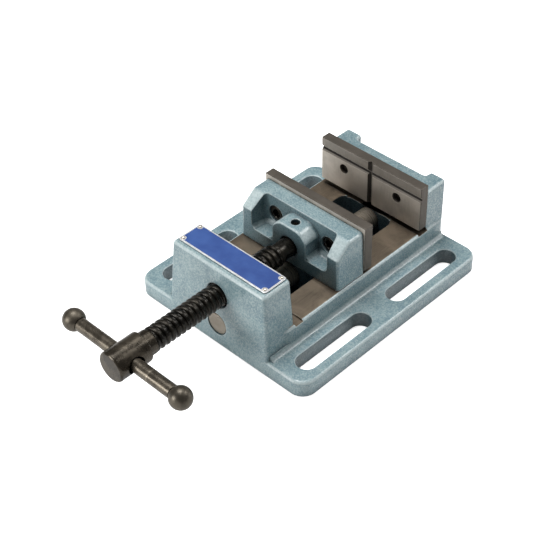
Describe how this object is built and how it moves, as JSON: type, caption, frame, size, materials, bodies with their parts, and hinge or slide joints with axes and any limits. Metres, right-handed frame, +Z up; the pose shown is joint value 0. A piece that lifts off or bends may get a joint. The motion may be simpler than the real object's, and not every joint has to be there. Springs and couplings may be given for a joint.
{
  "type": "machine vise",
  "caption": "Low drill-press machine vise: a slotted cast base with a fixed jaw, and a jaw on a guide rod, driven by a screw with a sliding T-handle.",
  "frame": {"origin": "centre of the base flange's footprint, on its underside", "axes": "+X across the jaws, +Y from the handle towards the fixed jaw, +Z up"},
  "size_m": [0.1308, 0.224, 0.0554],
  "materials": {
    "blue_enamel": "satin",
    "ground_steel": "ground",
    "black_oxide": "semi-gloss",
    "bright_steel": "polished",
    "plate_blue": "gloss",
    "pin_metal": "satin"
  },
  "bodies": {
    "base": {"base_casting": "blue_enamel", "fixed_jaw_plate": "ground_steel", "fixed_plate_screw_left": "black_oxide", "fixed_plate_screw_right": "black_oxide", "guide_rod": "bright_steel", "guide_rod_set_screw": "black_oxide", "name_plate": "plate_blue", "name_plate_pin_1": "pin_metal", "name_plate_pin_2": "pin_metal", "name_plate_pin_3": "pin_metal", "name_plate_pin_4": "pin_metal"},
    "jaw": {"movable_jaw": "blue_enamel", "movable_jaw_plate": "ground_steel", "movable_plate_screw_left": "black_oxide", "movable_plate_screw_right": "black_oxide", "spindle_retaining_screw": "black_oxide"},
    "screw": {"lead_screw": "black_oxide"},
    "handle": {"handle_bar": "black_oxide", "handle_ball_left": "black_oxide", "handle_ball_right": "black_oxide"}
  },
  "joints": [
    {"name": "jaw_slide", "type": "slide", "parent": "base", "child": "jaw", "axis": [0, 1, 0], "range_m": [-0.034, 0.0412]},
    {"name": "screw_turn", "type": "hinge", "parent": "jaw", "child": "screw", "pos_m": [0, -0.01755, 0.0349], "axis": [0, 1, 0], "range_deg": [-3308, 4008]},
    {"name": "handle_slide", "type": "slide", "parent": "screw", "child": "handle", "axis": [1, 0, 0], "range_m": [-0.027, 0.027]}
  ],
  "couplings": [
    {"joint": "jaw_slide", "follows": "screw_turn", "m_per_rad": 0.00058887}
  ]
}
